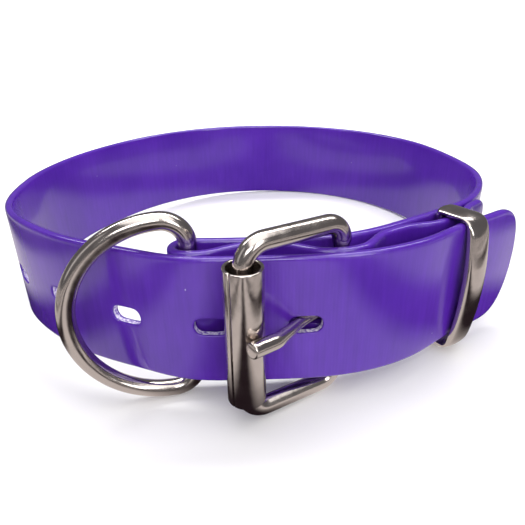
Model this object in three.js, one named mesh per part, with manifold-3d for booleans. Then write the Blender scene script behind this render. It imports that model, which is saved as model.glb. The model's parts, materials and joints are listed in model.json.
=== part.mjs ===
// A dog collar: one strip of coated webbing with a roller buckle, a D-ring and a metal keeper.
// The collar stands on its lower edge, fastened, buckle to the front. Millimetres, +Z up, +Y to the back.
// The strip starts at its round tip, runs left along the front, round the neck, back along the inside
// of the front, folds round the ring's bar and returns to the right as the turn-back.

import * as THREE from 'three';
import { mergeVertices } from 'three/addons/utils/BufferGeometryUtils.js';
import Module from 'manifold-3d';

const wasm = await Module();
wasm.setup();

// Strap
const strapWidth = 38;
const strapThickness = 2.6;
const strapEdgeRadius = 1.0;
const loopRadius = 85;
const layerGap = 0.3;
const barClearance = 0.25;
const tipLength = 14;
const tipToFirstHole = 82.5;
const holeCount = 5;
const holeSpacing = 24.6;
const holeLength = 9.4;
const holeWidth = 5.4;
const firstHoleDrop = 0.8;
const lastHoleDrop = 2;
const turnBackEndLength = 22;
const turnBackCornerRadius = 6;
const slotWidth = 7.2;
const slotTowardsRoller = 13;
const slotBehindBar = 4.6;

// Ring
const ringWire = 5.0;
const ringReach = 33;
const ringHalfHeight = 26.3;
const ringCornerRadius = 7;
const ringSeam = 0.2;
const ringSwing = 14;

// Buckle
const frameWire = 5.2;
const heelBarDiameter = 4.0;
const frameHalfHeight = 24.9;
const frameOuterBend = 6;
const frameInnerBend = 5;
const rollerDiameter = 10.2;
const rollerWall = 0.9;
const rollerOverhang = 0.6;
const tongueWire = 3.0;
const tongueTipDiameter = 4.2;
const tongueEyeWall = 1.1;
const tongueEyeHeight = 5.2;
const tongueRise = 1.6;

// Keeper
const keeperWidth = 8.4;
const keeperThickness = 2.8;
const keeperFrontThickness = 3.4;
const keeperEndThickness = 1.8;
const keeperEdgeRadius = 1.3;
const keeperEdgeInset = 0.6;
const keeperOuterCorner = 6.5;
const keeperInnerCorner = 1.2;
const keeperBow = 1.6;
const keeperEndClearance = 1.7;

// Rivets
const rivetDiameter = 3.6;
const rivetHeadDiameter = 7.2;
const rivetHeadHeight = 1.1;
const rivetClearance = 0.3;

// Stations along the front, measured to the right from the ring's bar
const ringBarAngle = 11.6;
const rollerStation = 14.1;
const tongueHoleStation = 29.6;
const heelBarStation = 38.8;
const keeperStation = 77.5;

// The loop's plan, seen from above: reach from the loop's middle as a share of loopRadius,
// each 20 degrees, starting at the front and going round by the right
const LOOP_REACH = [
  0.866, 0.892, 0.898, 0.966, 0.996, 0.982, 0.999, 1.009, 1.008,
  1.004, 0.995, 0.972, 0.955, 0.975, 1.019, 1.06, 0.994, 0.909,
];

// How the turn-back sinks between two bars: along is the share of the way from one bar to the next,
// height the share of the rise from the strap below it to the bar
const SINK = [
  { along: 0, height: 1 },
  { along: 0.11, height: 0.9 },
  { along: 0.24, height: 0.4 },
  { along: 0.37, height: 0 },
  { along: 0.63, height: 0 },
  { along: 0.76, height: 0.4 },
  { along: 0.89, height: 0.9 },
  { along: 1, height: 1 },
];

// How the billet comes down to the loop left of the ring's bar: along is a share of easeLength,
// height a share of its height over the ring's bar
const easeLength = 92;
const EASE = [
  { along: 0.18, height: 0.66 },
  { along: 0.36, height: 0.4 },
  { along: 0.56, height: 0.19 },
  { along: 0.78, height: 0.05 },
  { along: 1, height: 0 },
];

// Slack of the billet over the layers under it, at the places where it has some
const billetSlackBetween = 0.9;
const billetSlackAtKeeper = 2.3;

// How the tail stands off the loop beyond the keeper: along is a share of tailLength, height of tailHeight
const tailLength = 44;
const tailHeight = 17.8;
const TAIL = [
  { along: 1, height: 1 },
  { along: 0.7, height: 0.92 },
  { along: 0.38, height: 0.71 },
];

const WIRE_SIDES = 12;
const middleHeight = strapWidth / 2;
const halfThickness = strapThickness / 2;

// Heights of the layers over the inner strap's middle line
const ringBarHeight = halfThickness + barClearance + ringWire / 2;
const turnBackAtRing = ringBarHeight + ringWire / 2 + barClearance + halfThickness;
const tongueEyeBore = heelBarDiameter / 2 + layerGap;
const tongueEyeRadius = tongueEyeBore + tongueEyeWall;
const heelBarHeight = halfThickness + layerGap + tongueEyeRadius;
const turnBackAtHeel = heelBarHeight + heelBarDiameter / 2 + barClearance + halfThickness;
const keeperBarHeight = halfThickness + layerGap + keeperThickness / 2;
const turnBackAtKeeper = keeperBarHeight + keeperThickness / 2 + layerGap + halfThickness;
const turnBackLow = strapThickness + layerGap;
const overTurnBack = strapThickness + layerGap;
const billetAtRing = turnBackAtRing + overTurnBack;
const billetAtHeel = turnBackAtHeel + overTurnBack;
const billetAtKeeper = turnBackAtKeeper + overTurnBack + billetSlackAtKeeper;
const rollerHeight = billetAtHeel + halfThickness + layerGap + rollerDiameter / 2;

const strapMaterial = new THREE.MeshStandardMaterial({ color: 0x5a34a8, roughness: 0.28, metalness: 0 });
const nickelMaterial = new THREE.MeshStandardMaterial({ color: 0x9c928a, roughness: 0.18, metalness: 1 });

// Turns a closed geometry into a manifold solid
function toSolid(geometry) {
  const bare = geometry.clone();
  bare.deleteAttribute('normal');
  bare.deleteAttribute('uv');
  const merged = mergeVertices(bare, 1e-5);
  return new wasm.Manifold(new wasm.Mesh({
    numProp: 3,
    vertProperties: Float32Array.from(merged.attributes.position.array),
    triVerts: Uint32Array.from(merged.index.array),
  }));
}

// Turns a manifold solid back into a geometry
function toGeometry(solid) {
  const mesh = solid.getMesh();
  const geometry = new THREE.BufferGeometry();
  geometry.setAttribute('position', new THREE.BufferAttribute(new Float32Array(mesh.vertProperties), 3));
  geometry.setIndex(new THREE.BufferAttribute(new Uint32Array(mesh.triVerts), 1));
  geometry.computeVertexNormals();
  return geometry;
}

function namedMesh(name, geometry, material) {
  const mesh = new THREE.Mesh(geometry, material);
  mesh.name = name;
  return mesh;
}

// The loop's middle line as a closed curve
function makeLoopCurve() {
  const step = (2 * Math.PI) / LOOP_REACH.length;
  const points = LOOP_REACH.map((share, i) => new THREE.Vector3(
    share * loopRadius * Math.sin(i * step),
    -share * loopRadius * Math.cos(i * step),
    0,
  ));
  const curve = new THREE.CatmullRomCurve3(points, true, 'centripetal');
  curve.arcLengthDivisions = 1440;
  return curve;
}

const loopCurve = makeLoopCurve();
const loopLength = loopCurve.getLength();
const ringStart = loopLength * (1 - ringBarAngle / 360);

// A place in plan: station mm to the right of the ring's bar, height mm outwards from the loop's line
function place(station, height) {
  const share = ((((ringStart + station) / loopLength) % 1) + 1) % 1;
  const point = loopCurve.getPointAt(share);
  const along = loopCurve.getTangentAt(share);
  return new THREE.Vector2(point.x + along.y * height, point.y - along.x * height);
}

// The strap's direction to the right at a station, as an angle from +X
function headingAt(station) {
  const share = ((((ringStart + station) / loopLength) % 1) + 1) % 1;
  const along = loopCurve.getTangentAt(share);
  return Math.atan2(along.y, along.x);
}

// Plan points along a row of (station, height) pairs, smoothed and spaced by step
function smoothRun(rows, step) {
  const curve = new THREE.CatmullRomCurve3(rows.map(([s, h]) => new THREE.Vector3(s, h, 0)), false, 'centripetal');
  const count = Math.ceil(curve.getLength() / step);
  return curve.getSpacedPoints(count).map((p) => ({ station: p.x, height: p.y }));
}

// The turn-back between two bars, clear of both bars and low between them
function sinkRows(from, to) {
  const start = from.station + from.flat;
  const end = to.station - to.flat;
  return SINK.map(({ along, height }) => [
    start + along * (end - start),
    turnBackLow + height * ((along < 0.5 ? from.height : to.height) - turnBackLow),
  ]);
}

// The bars that lift the turn-back: flat is how far it stays level to each side of the bar's middle
const ringStop = { station: 0, height: turnBackAtRing, flat: ringWire * 0.15 };
const heelStop = { station: heelBarStation, height: turnBackAtHeel, flat: heelBarDiameter * 0.25 };
const keeperStop = { station: keeperStation, height: turnBackAtKeeper, flat: keeperWidth * 0.6 };
const turnBackEnd = keeperStation + turnBackEndLength;

const TURN_BACK_ROWS = [
  [ringStop.station, ringStop.height],
  ...sinkRows(ringStop, heelStop),
  ...sinkRows(heelStop, keeperStop),
  [keeperStation + keeperStop.flat, turnBackAtKeeper],
  [keeperStation + turnBackEndLength * 0.36, turnBackLow + (turnBackAtKeeper - turnBackLow) * 0.5],
  [keeperStation + turnBackEndLength * 0.49, turnBackLow + (turnBackAtKeeper - turnBackLow) * 0.08],
  [keeperStation + turnBackEndLength * 0.58, turnBackLow],
  [turnBackEnd, turnBackLow],
];

const BILLET_ROWS = [
  ...TAIL.map(({ along, height }) => [keeperStation + along * tailLength, height * tailHeight]),
  [keeperStation, billetAtKeeper],
  [(heelBarStation + keeperStation) / 2, billetAtHeel + billetSlackBetween],
  [heelBarStation, billetAtHeel],
  [rollerStation, billetAtHeel],
  [0, billetAtRing],
  ...EASE.map(({ along, height }) => [-along * easeLength, height * billetAtRing]),
];

// The billet's own points from its tip: the first hole lies where the tongue passes
function billetRun() {
  const step = 3.4;
  const all = smoothRun(BILLET_ROWS, 1);
  const points = all.map((p) => place(p.station, p.height));
  const travel = [0];
  for (let i = 1; i < points.length; i += 1) travel.push(travel[i - 1] + points[i].distanceTo(points[i - 1]));
  const holeIndex = all.findIndex((p) => p.station <= tongueHoleStation);
  const tipTravel = travel[holeIndex] - tipToFirstHole;
  const length = travel[travel.length - 1] - tipTravel;
  const at = (distance) => {
    const target = Math.max(tipTravel + distance, 0);
    let i = travel.findIndex((d) => d >= target);
    if (i < 0) i = travel.length - 1;
    i = Math.max(i, 1);
    const share = (target - travel[i - 1]) / (travel[i] - travel[i - 1]);
    return points[i - 1].clone().lerp(points[i], share);
  };
  const count = Math.ceil(length / step);
  const samples = Array.from({ length: count + 1 }, (_, i) => at((i / count) * length));
  return { at, samples };
}

const billet = billetRun();

// The strap's whole middle line in plan, from the tip to the end of the turn-back
function strapLine() {
  const loopStep = 6.4;
  const loopFrom = -easeLength;
  const loopCount = Math.ceil((loopLength + loopFrom) / loopStep);
  const foldSteps = 8;
  const foldRadius = ringBarHeight;
  const line = [...billet.samples];
  for (let i = 1; i <= loopCount; i += 1) {
    line.push(place(loopFrom - ((loopLength + loopFrom) * i) / loopCount, 0));
  }
  for (let i = 1; i < foldSteps; i += 1) {
    const turn = (Math.PI * i) / foldSteps;
    const height = turnBackAtRing / 2 - (turnBackAtRing / 2) * Math.cos(turn);
    line.push(place(-foldRadius * Math.sin(turn), height));
  }
  smoothRun(TURN_BACK_ROWS, 2.5).forEach((p) => line.push(place(p.station, p.height)));
  return line;
}

// A closed outline of the given half width round an open line
function stripShape(line, half) {
  const left = [];
  const right = [];
  line.forEach((point, i) => {
    const before = line[Math.max(i - 1, 0)];
    const after = line[Math.min(i + 1, line.length - 1)];
    const along = after.clone().sub(before).normalize();
    const across = new THREE.Vector2(-along.y, along.x).multiplyScalar(half);
    left.push(point.clone().add(across));
    right.push(point.clone().sub(across));
  });
  return new THREE.Shape([...left, ...right.reverse()]);
}

// A flat outline drawn in the strap's face, extruded through it; centre lies on the strap's middle line,
// and drop is how far below it the outline goes
function throughFace(shape, centre, heading, depth, drop = 0) {
  const geometry = new THREE.ExtrudeGeometry(shape, { depth, bevelEnabled: false, curveSegments: 6 });
  geometry.translate(0, 0, -depth / 2);
  geometry.rotateX(Math.PI / 2);
  geometry.rotateZ(heading);
  geometry.translate(centre.x, centre.y, middleHeight - drop);
  return toSolid(geometry);
}

function oblong(length, width) {
  const straight = (length - width) / 2;
  const shape = new THREE.Shape();
  shape.moveTo(-straight, -width / 2);
  shape.lineTo(straight, -width / 2);
  shape.absarc(straight, 0, width / 2, -Math.PI / 2, Math.PI / 2, false);
  shape.lineTo(-straight, width / 2);
  shape.absarc(-straight, 0, width / 2, Math.PI / 2, (3 * Math.PI) / 2, false);
  return shape;
}

// What is cut off round the tip: a square with the tip's round outline taken out of it.
// The outline's apex is at x = 0 and the strap lies towards -X
function tipOffcut() {
  const half = strapWidth / 2;
  const spare = 6;
  const shape = new THREE.Shape();
  shape.moveTo(-tipLength, -half - spare);
  shape.lineTo(spare, -half - spare);
  shape.lineTo(spare, half + spare);
  shape.lineTo(-tipLength, half + spare);
  shape.lineTo(-tipLength, half);
  shape.bezierCurveTo(-tipLength * 0.4, half, 0, half * 0.65, 0, 0);
  shape.bezierCurveTo(0, -half * 0.65, -tipLength * 0.4, -half, -tipLength, -half);
  return shape;
}

// What is cut off the square end of the turn-back to round one corner; side is +1 or -1
function cornerOffcut(side) {
  const half = strapWidth / 2;
  const spare = 2;
  const r = turnBackCornerRadius;
  const shape = new THREE.Shape();
  shape.moveTo(-r, side * (half + spare));
  shape.lineTo(-r, side * half);
  shape.absarc(-r, side * (half - r), r, (side * Math.PI) / 2, 0, side > 0);
  shape.lineTo(spare, side * (half - r));
  shape.lineTo(spare, side * (half + spare));
  return shape;
}

const rivetStations = [
  heelBarStation * 0.5,
  (heelBarStation + heelStop.flat + keeperStation - keeperStop.flat) / 2,
  keeperStation + turnBackEndLength * 0.71,
];

// Strap: extruded in plan with rounded long edges, then holed, slotted and rounded at its ends
function makeStrap() {
  const geometry = new THREE.ExtrudeGeometry(stripShape(strapLine(), halfThickness), {
    depth: strapWidth - 2 * strapEdgeRadius,
    bevelEnabled: true,
    bevelThickness: strapEdgeRadius,
    bevelSize: strapEdgeRadius,
    bevelOffset: -strapEdgeRadius,
    bevelSegments: 2,
    steps: 1,
  });
  geometry.translate(0, 0, strapEdgeRadius);
  let solid = toSolid(geometry);
  const cutDepth = strapThickness + layerGap;

  for (let i = 0; i < holeCount; i += 1) {
    const distance = tipToFirstHole + i * holeSpacing;
    const along = billet.at(distance - 1).sub(billet.at(distance + 1));
    const heading = Math.atan2(along.y, along.x);
    const drop = THREE.MathUtils.lerp(firstHoleDrop, lastHoleDrop, (i / (holeCount - 1)) ** 2);
    const outline = oblong(holeLength, holeWidth);
    solid = solid.subtract(throughFace(outline, billet.at(distance), heading, cutDepth, drop));
  }

  const tip = billet.at(0);
  const shoulder = billet.at(tipLength);
  const tipHeading = Math.atan2(tip.y - shoulder.y, tip.x - shoulder.x);
  solid = solid.subtract(throughFace(tipOffcut(), tip, tipHeading, strapThickness * 3));

  const endCentre = place(turnBackEnd, turnBackLow);
  [1, -1].forEach((side) => {
    solid = solid.subtract(throughFace(cornerOffcut(side), endCentre, headingAt(turnBackEnd), cutDepth));
  });

  rivetStations.forEach((station) => {
    const bore = new THREE.CylinderGeometry(rivetDiameter / 2 + rivetClearance, rivetDiameter / 2 + rivetClearance,
      turnBackLow + strapThickness + 2, WIRE_SIDES);
    bore.rotateZ(headingAt(station));
    const centre = place(station, turnBackLow / 2);
    bore.translate(centre.x, centre.y, middleHeight);
    solid = solid.subtract(toSolid(bore));
  });

  return namedMesh('strap', toGeometry(solid.subtract(slotCutter())), strapMaterial);
}

// The slot in the turn-back for the tongue: a plan area between the strap and the billet
function slotCutter() {
  const from = heelBarStation - slotTowardsRoller;
  const to = heelBarStation + slotBehindBar;
  const steps = 8;
  const low = halfThickness + layerGap / 2;
  const high = billetAtHeel - halfThickness - layerGap / 2;
  const stations = Array.from({ length: steps + 1 }, (_, i) => from + ((to - from) * i) / steps);
  const outer = stations.map((s) => place(s, high));
  const inner = stations.map((s) => place(s, low)).reverse();
  const geometry = new THREE.ExtrudeGeometry(new THREE.Shape([...outer, ...inner]), {
    depth: slotWidth,
    bevelEnabled: false,
  });
  geometry.translate(0, 0, middleHeight - slotWidth / 2);
  return toSolid(geometry);
}

// A bar of round section along a path
function wireGeometry(path, diameter, steps) {
  const section = new THREE.Shape();
  section.absarc(0, 0, diameter / 2, 0, 2 * Math.PI, false);
  return new THREE.ExtrudeGeometry(section, {
    extrudePath: path,
    steps,
    curveSegments: WIRE_SIDES / 2,
    bevelEnabled: false,
  });
}

function arcPoints(centreX, centreZ, radiusX, radiusZ, fromDeg, toDeg, count) {
  return Array.from({ length: count + 1 }, (_, i) => {
    const turn = THREE.MathUtils.degToRad(fromDeg + ((toDeg - fromDeg) * i) / count);
    return new THREE.Vector3(centreX + radiusX * Math.cos(turn), 0, centreZ + radiusZ * Math.sin(turn));
  });
}

// D-ring: a bent wire whose ends meet on the bar, inside the strap's fold. Its bar is the Z axis, and
// it reaches towards -X
function makeRing() {
  const bow = ringReach - ringCornerRadius;
  const straight = ringHalfHeight - ringCornerRadius;
  const points = [
    new THREE.Vector3(0, 0, ringSeam / 2),
    new THREE.Vector3(0, 0, straight * 0.5),
    ...arcPoints(-ringCornerRadius, straight, ringCornerRadius, ringCornerRadius, 0, 90, 6),
    ...arcPoints(-ringCornerRadius, 0, bow, ringHalfHeight, 90, 270, 30).slice(1),
    ...arcPoints(-ringCornerRadius, -straight, ringCornerRadius, ringCornerRadius, 270, 360, 6).slice(1),
    new THREE.Vector3(0, 0, -straight * 0.5),
    new THREE.Vector3(0, 0, -ringSeam / 2),
  ];
  const path = new THREE.CatmullRomCurve3(points, false, 'centripetal');
  const geometry = wireGeometry(path, ringWire, 58);
  geometry.rotateZ(THREE.MathUtils.degToRad(ringSwing));
  const bar = place(0, ringBarHeight);
  geometry.translate(bar.x, bar.y, middleHeight);
  return namedMesh('d_ring', toGeometry(toSolid(geometry)), nickelMaterial);
}

// How far the buckle hangs below the strap's lower edge
const frameDrop = frameHalfHeight + frameWire / 2 - middleHeight;

// Where the buckle comes lowest: at the inner end of its straight lower side
function buckleFoot() {
  const heel = place(heelBarStation, heelBarHeight);
  const outer = place(rollerStation, rollerHeight);
  const foot = heel.lerp(outer, frameInnerBend / heel.distanceTo(outer));
  return new THREE.Vector3(foot.x, foot.y, -frameDrop);
}

// Where the ring comes lowest: at the end of its lower corner
function ringFoot() {
  const bar = place(0, ringBarHeight);
  const swing = THREE.MathUtils.degToRad(ringSwing);
  const low = middleHeight - ringHalfHeight - ringWire / 2;
  const x = bar.x - ringCornerRadius * Math.cos(swing);
  return new THREE.Vector3(x, bar.y - ringCornerRadius * Math.sin(swing), low);
}

// The floor as the collar has it: through the ring's foot, the buckle's foot and the place of the strap's
// lower edge that comes lowest at the back
function floorPlane() {
  const edge = Array.from({ length: 61 }, (_, i) => {
    const point = place(loopLength * (0.35 + 0.005 * i), halfThickness - strapEdgeRadius);
    return new THREE.Vector3(point.x, point.y, 0);
  });
  const floor = new THREE.Plane();
  let back = edge[30];
  for (let round = 0; round < 4; round += 1) {
    floor.setFromCoplanarPoints(buckleFoot(), back, ringFoot());
    back = edge.reduce((low, point) => (floor.distanceToPoint(point) < floor.distanceToPoint(low) ? point : low));
  }
  return floor;
}

const rollerCentre = place(rollerStation, rollerHeight);
const heelCentre = place(heelBarStation, heelBarHeight);

// Buckle frame: a bent wire from one end of the heel bar round the roller's bar to the other end,
// joined to the thinner heel bar
function makeFrame() {
  const reach = heelCentre.distanceTo(rollerCentre);
  const heading = Math.atan2(heelCentre.y - rollerCentre.y, heelCentre.x - rollerCentre.x);
  const a = frameOuterBend;
  const b = frameInnerBend;
  const h = frameHalfHeight;
  const points = [
    ...arcPoints(reach - b, h - b, b, b, 0, 90, 6),
    ...arcPoints(a, h - a, a, a, 90, 180, 6),
    new THREE.Vector3(0, 0, 0),
    ...arcPoints(a, a - h, a, a, 180, 270, 6),
    ...arcPoints(reach - b, b - h, b, b, 270, 360, 6),
  ];
  const path = new THREE.CatmullRomCurve3(points, false, 'centripetal');
  const wire = wireGeometry(path, frameWire, 56);
  const neck = frameWire / 2 - heelBarDiameter / 2;
  const end = h - b;
  const overlap = 0.6;
  const r = heelBarDiameter / 2;
  const profile = [
    new THREE.Vector2(0, -end - overlap),
    new THREE.Vector2(frameWire / 2 - 0.15, -end - overlap),
    new THREE.Vector2(frameWire / 2 - 0.15, -end + overlap),
    new THREE.Vector2(r, -end + overlap + neck),
    new THREE.Vector2(r, end - overlap - neck),
    new THREE.Vector2(frameWire / 2 - 0.15, end - overlap),
    new THREE.Vector2(frameWire / 2 - 0.15, end + overlap),
    new THREE.Vector2(0, end + overlap),
  ];
  const bar = new THREE.LatheGeometry(profile, WIRE_SIDES);
  bar.rotateX(Math.PI / 2);
  bar.translate(reach, 0, 0);
  const geometry = toGeometry(toSolid(wire).add(toSolid(bar)));
  geometry.rotateZ(heading);
  geometry.translate(rollerCentre.x, rollerCentre.y, middleHeight);
  return namedMesh('buckle_frame', geometry, nickelMaterial);
}

// Roller: a thin tube, closed profile turned round the frame's outer bar
function makeRoller() {
  const half = strapWidth / 2 + rollerOverhang;
  const outer = rollerDiameter / 2;
  const inner = outer - rollerWall;
  const lip = rollerWall * 0.35;
  const profile = [
    new THREE.Vector2(inner, -half),
    new THREE.Vector2(outer - lip, -half),
    new THREE.Vector2(outer, -half + lip),
    new THREE.Vector2(outer, half - lip),
    new THREE.Vector2(outer - lip, half),
    new THREE.Vector2(inner, half),
    new THREE.Vector2(inner, -half),
  ];
  const geometry = new THREE.LatheGeometry(profile, 32);
  geometry.rotateX(Math.PI / 2);
  geometry.translate(rollerCentre.x, rollerCentre.y, middleHeight);
  return namedMesh('roller', toGeometry(toSolid(geometry)), nickelMaterial);
}

// Tongue: an eye round the heel bar, a shank through the turn-back and the billet's hole, and a thicker
// end that bends over the roller
function makeTongue() {
  const restRadius = (rollerDiameter / 2 + layerGap + tongueTipDiameter / 2) / Math.cos(THREE.MathUtils.degToRad(29));
  const across = headingAt(rollerStation) - Math.PI / 2;
  const roundRoller = (deg) => {
    const turn = across + THREE.MathUtils.degToRad(90 - deg);
    return new THREE.Vector2(rollerCentre.x + restRadius * Math.cos(turn), rollerCentre.y + restRadius * Math.sin(turn));
  };
  const z = middleHeight;
  const elbow = roundRoller(22);
  const tip = roundRoller(80);
  const hole = billet.at(tipToFirstHole + tongueWire * 0.15);
  const lift = (p, height) => new THREE.Vector3(p.x, p.y, height);
  const eyeSide = heelCentre.clone().lerp(hole, (tongueEyeBore + tongueEyeWall / 2) / heelCentre.distanceTo(hole));
  const elbowPoint = lift(elbow, z + tongueRise / 2);
  const shank = new THREE.CatmullRomCurve3([
    lift(eyeSide, z),
    lift(hole, z),
    lift(hole.clone().lerp(elbow, 0.6), z + tongueRise * 0.3),
    elbowPoint,
  ], false, 'centripetal');
  const shankSolid = toSolid(wireGeometry(shank, tongueWire, 16));

  const eyeHalf = tongueEyeHeight / 2;
  const eye = new THREE.LatheGeometry([
    new THREE.Vector2(tongueEyeBore, -eyeHalf),
    new THREE.Vector2(tongueEyeRadius, -eyeHalf),
    new THREE.Vector2(tongueEyeRadius, eyeHalf),
    new THREE.Vector2(tongueEyeBore, eyeHalf),
    new THREE.Vector2(tongueEyeBore, -eyeHalf),
  ], 20);
  eye.rotateX(Math.PI / 2);
  eye.translate(heelCentre.x, heelCentre.y, z);

  const tipPoint = lift(tip, z + tongueRise);
  const reach = tipPoint.distanceTo(elbowPoint);
  const r = tongueTipDiameter / 2;
  const chamfer = 0.5;
  const end = new THREE.LatheGeometry([
    new THREE.Vector2(0, -r * 0.7),
    new THREE.Vector2(r * 0.62, -r * 0.5),
    new THREE.Vector2(r, r * 0.35),
    new THREE.Vector2(r, reach - chamfer),
    new THREE.Vector2(r - chamfer, reach),
    new THREE.Vector2(0, reach),
  ], 16);
  const direction = tipPoint.clone().sub(elbowPoint).normalize();
  end.applyQuaternion(new THREE.Quaternion().setFromUnitVectors(new THREE.Vector3(0, 1, 0), direction));
  end.translate(elbowPoint.x, elbowPoint.y, elbowPoint.z);
  return namedMesh('tongue', toGeometry(shankSolid.add(toSolid(eye)).add(toSolid(end))), nickelMaterial);
}

// A closed row of points without those that fall on the one before them
function apart(points) {
  return points.filter((point, i) => point.distanceTo(points.at(i - 1)) > 1e-4);
}

// The keeper's outline from x0 at the back to x1 at the front, whose middle bows out further
function bandOutline(x0, x1, half, backCorner, frontCorner) {
  const straight = half - frontCorner;
  const bow = 2 * keeperBow;
  const turn = x1 - (bow * frontCorner) / straight;
  const outline = new THREE.Path();
  outline.moveTo(x0 + backCorner, -half);
  outline.lineTo(x1 - frontCorner, -half);
  outline.quadraticCurveTo(turn, -half, x1, -straight);
  outline.quadraticCurveTo(x1 + bow, 0, x1, straight);
  outline.quadraticCurveTo(turn, half, x1 - frontCorner, half);
  outline.lineTo(x0 + backCorner, half);
  outline.absarc(x0 + backCorner, half - backCorner, backCorner, Math.PI / 2, Math.PI, false);
  outline.lineTo(x0, backCorner - half);
  outline.absarc(x0 + backCorner, backCorner - half, backCorner, Math.PI, 1.5 * Math.PI, false);
  return outline;
}

// Keeper: a band round the turn-back and the billet, hanging on the strap's upper edge. It is drawn
// across the strap, x outwards and y up
function makeKeeper() {
  const inside = keeperBarHeight + keeperThickness / 2;
  const outside = billetAtKeeper + halfThickness + layerGap;
  const half = strapWidth / 2 + keeperEndClearance;
  const back = inside - keeperThickness;
  const front = outside + keeperFrontThickness;
  const outline = bandOutline(back, front, half + keeperEndThickness, keeperInnerCorner, keeperOuterCorner);
  const opening = bandOutline(inside, outside, half, keeperInnerCorner * 0.3, keeperInnerCorner);
  const shape = new THREE.Shape(apart(outline.getPoints(5)));
  shape.holes.push(new THREE.Path(apart(opening.getPoints(5))));
  const geometry = new THREE.ExtrudeGeometry(shape, {
    depth: keeperWidth - 2 * keeperEdgeRadius,
    bevelEnabled: true,
    bevelThickness: keeperEdgeRadius,
    bevelSize: keeperEdgeInset,
    bevelOffset: -keeperEdgeInset,
    bevelSegments: 2,
    curveSegments: 5,
  });
  geometry.translate(0, 0, keeperEdgeRadius - keeperWidth / 2);
  geometry.rotateX(Math.PI / 2);
  geometry.rotateZ(headingAt(keeperStation) - Math.PI / 2);
  const origin = place(keeperStation, 0);
  const drop = keeperEndClearance - layerGap;
  geometry.translate(origin.x, origin.y, middleHeight - drop);
  return namedMesh('keeper', toGeometry(toSolid(geometry)), nickelMaterial);
}

// Rivet: a post with two low domed heads, through the strap and the turn-back
function makeRivet(name, station) {
  const grip = (turnBackLow + strapThickness) / 2 + layerGap;
  const r = rivetDiameter / 2;
  const head = rivetHeadDiameter / 2;
  const flat = head * 0.55;
  const profile = [
    new THREE.Vector2(0, -grip - rivetHeadHeight),
    new THREE.Vector2(flat, -grip - rivetHeadHeight),
    new THREE.Vector2(head * 0.88, -grip - rivetHeadHeight * 0.6),
    new THREE.Vector2(head, -grip),
    new THREE.Vector2(r, -grip),
    new THREE.Vector2(r, grip),
    new THREE.Vector2(head, grip),
    new THREE.Vector2(head * 0.88, grip + rivetHeadHeight * 0.6),
    new THREE.Vector2(flat, grip + rivetHeadHeight),
    new THREE.Vector2(0, grip + rivetHeadHeight),
  ];
  const geometry = new THREE.LatheGeometry(profile, WIRE_SIDES);
  geometry.rotateZ(headingAt(station));
  const centre = place(station, turnBackLow / 2);
  geometry.translate(centre.x, centre.y, middleHeight);
  return namedMesh(name, toGeometry(toSolid(geometry)), nickelMaterial);
}

const collar = new THREE.Group();
collar.add(makeStrap());
collar.add(makeRing());
collar.add(makeFrame());
collar.add(makeRoller());
collar.add(makeTongue());
collar.add(makeKeeper());
['rivet_ring', 'rivet_buckle', 'rivet_keeper'].forEach((name, i) => {
  collar.add(makeRivet(name, rivetStations[i]));
});
collar.quaternion.setFromUnitVectors(floorPlane().normal, new THREE.Vector3(0, 0, 1));

// The origin is under the middle of the collar, on the floor
const stand = new THREE.Group();
stand.add(collar);
stand.updateMatrixWorld(true);
const box = new THREE.Box3().setFromObject(stand, true);
collar.position.set(-(box.min.x + box.max.x) / 2, -(box.min.y + box.max.y) / 2, -box.min.z);

export default stand;
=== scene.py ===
"""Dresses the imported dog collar: a coated webbing strap with its roller buckle, D-ring, keeper and rivets.

Every piece is modelled in the collar's own frame, in which the strap stands upright on its lower edge,
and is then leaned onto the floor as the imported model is.
"""

import json
import math
import typing

import bmesh
import bpy
import numpy as np
from bpy.props import FloatProperty, FloatVectorProperty, IntProperty, PointerProperty
from mathutils import Matrix, Vector


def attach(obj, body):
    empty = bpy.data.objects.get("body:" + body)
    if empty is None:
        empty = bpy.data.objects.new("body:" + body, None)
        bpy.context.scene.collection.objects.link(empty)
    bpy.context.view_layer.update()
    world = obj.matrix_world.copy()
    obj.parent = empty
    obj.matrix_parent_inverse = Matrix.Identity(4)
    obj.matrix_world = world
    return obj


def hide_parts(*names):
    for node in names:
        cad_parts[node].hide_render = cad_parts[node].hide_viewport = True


bl_info = {
    "name": "Dog Collar",
    "version": (1, 0, 0),
    "blender": (4, 5, 0),
    "location": "View3D > Sidebar > Collar",
    "description": "Builds the strap, buckle, ring and keeper of a dog collar on its packed frame",
    "category": "Object",
}

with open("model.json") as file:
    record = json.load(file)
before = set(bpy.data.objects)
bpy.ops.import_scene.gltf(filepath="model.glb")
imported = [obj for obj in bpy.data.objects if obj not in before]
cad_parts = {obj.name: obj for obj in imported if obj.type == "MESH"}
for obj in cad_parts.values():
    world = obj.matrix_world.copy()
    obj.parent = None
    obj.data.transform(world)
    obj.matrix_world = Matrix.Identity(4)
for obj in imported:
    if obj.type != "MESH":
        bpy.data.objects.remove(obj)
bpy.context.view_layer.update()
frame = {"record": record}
joints = {joint["name"]: joint for joint in frame["record"]["behaviour"]["joints"]}

MM = 0.001
UP = Vector((0, 0, 1))

# A Mix node's sockets for colours, which share their names with the ones for numbers
MIX_COLOUR_B = 7
MIX_COLOUR_RESULT = 2

# The loop seen from above: reach from its middle as a share of the loop's radius, each 20 degrees,
# from the front round by the right
LOOP_REACH = (
    0.866, 0.892, 0.898, 0.966, 0.996, 0.982, 0.999, 1.009, 1.008,
    1.004, 0.995, 0.972, 0.955, 0.975, 1.019, 1.06, 0.994, 0.909,
)

# How the turn-back sinks between two bars: share of the way between them, share of the rise to the bar
SINK = ((0, 1), (0.11, 0.9), (0.24, 0.4), (0.37, 0), (0.63, 0), (0.76, 0.4), (0.89, 0.9), (1, 1))

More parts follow.
